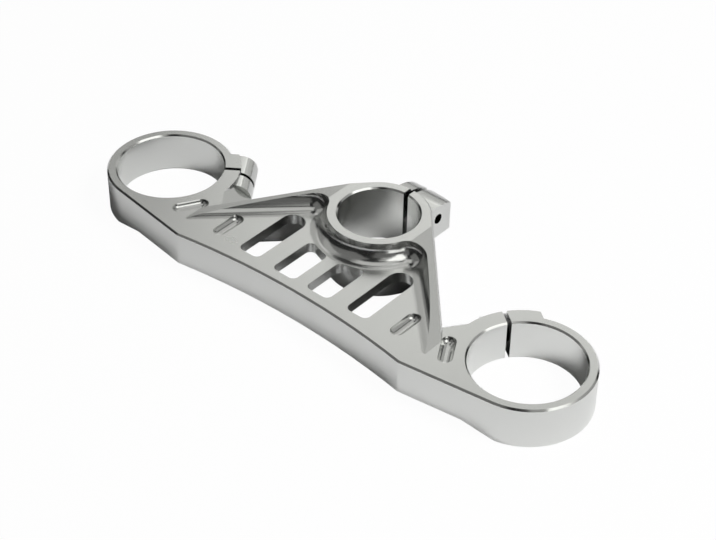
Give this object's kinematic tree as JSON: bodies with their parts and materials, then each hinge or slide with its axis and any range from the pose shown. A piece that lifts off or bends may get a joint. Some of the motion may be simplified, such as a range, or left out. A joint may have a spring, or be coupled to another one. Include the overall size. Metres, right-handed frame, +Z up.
{
  "type": "motorcycle triple clamp",
  "caption": "One-piece machined aluminium triple clamp: split fork rings at the ends of a pocketed plate, V ribs, a raised split stem boss and pinch-bolt lugs.",
  "frame": {"origin": "on the steering axis, in the plane of the fork rings' underside", "axes": "+Z up along the steering axis, +X across the motorcycle, the fork axes ahead of the stem towards -Y"},
  "size_m": [0.268, 0.0986, 0.029],
  "materials": {
    "machined_aluminium": "fine machined, satin"
  },
  "bodies": {
    "root": {"triple_clamp": "machined_aluminium"}
  },
  "joints": []
}
